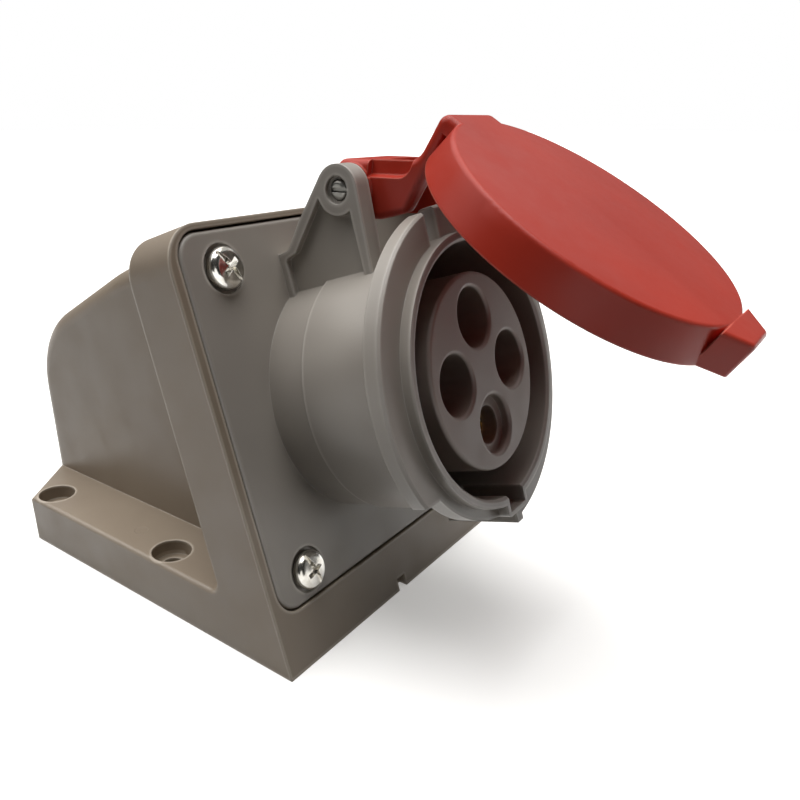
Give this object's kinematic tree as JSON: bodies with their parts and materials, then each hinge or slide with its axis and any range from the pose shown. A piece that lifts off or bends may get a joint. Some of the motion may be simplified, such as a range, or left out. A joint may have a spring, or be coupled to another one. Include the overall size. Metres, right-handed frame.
{
  "type": "angled surface-mounted socket outlet",
  "caption": "Industrial pin-and-sleeve socket outlet on a sloping surface-mounting box, with a hinged lid standing open over its round keyed mouth.",
  "frame": {"origin": "centre of the four wall-screw holes, on the wall side of the flange", "axes": "+Z out of the wall, -Y the side the sloping front and the mouth face, +X across the box"},
  "size_m": [0.082, 0.1722, 0.1037],
  "materials": {
    "box_plastic": "satin warm grey moulding",
    "housing_plastic": "satin light grey moulding",
    "seal_rubber": "matt black rubber",
    "grommet_rubber": "matt dark grey rubber",
    "zinc_screw": "bright zinc",
    "pin_steel": "dull dark steel",
    "brass": "turned brass",
    "spring_steel": "plain spring steel",
    "inner_screw": "zinc plated",
    "carrier_plastic": "satin dark grey moulding",
    "block_plastic": "black moulding",
    "lid_plastic": "satin red moulding"
  },
  "bodies": {
    "box": {"wall_box": "box_plastic", "socket_housing": "housing_plastic", "cover_gasket": "seal_rubber", "cover_screw_seals": "seal_rubber", "carrier_seal": "seal_rubber", "entry_grommet": "grommet_rubber", "cover_screws": "zinc_screw", "hinge_pin": "pin_steel", "box_inserts": "brass", "contact_l1": "brass", "contact_l2": "brass", "contact_l3": "brass", "contact_earth": "brass", "contact_ring_springs": "spring_steel", "terminal_screws": "inner_screw", "carrier_screws": "inner_screw", "block_screws": "inner_screw", "contact_carrier": "carrier_plastic", "terminal_block": "block_plastic"},
    "lid": {"lid": "lid_plastic", "lid_gasket": "seal_rubber"}
  },
  "joints": [
    {"name": "lid_hinge", "type": "hinge", "parent": "box", "child": "lid", "pos_m": [0, -0.05354, 0.09108], "axis": [1, 0, 0], "range_deg": [-150, 41.2]}
  ]
}
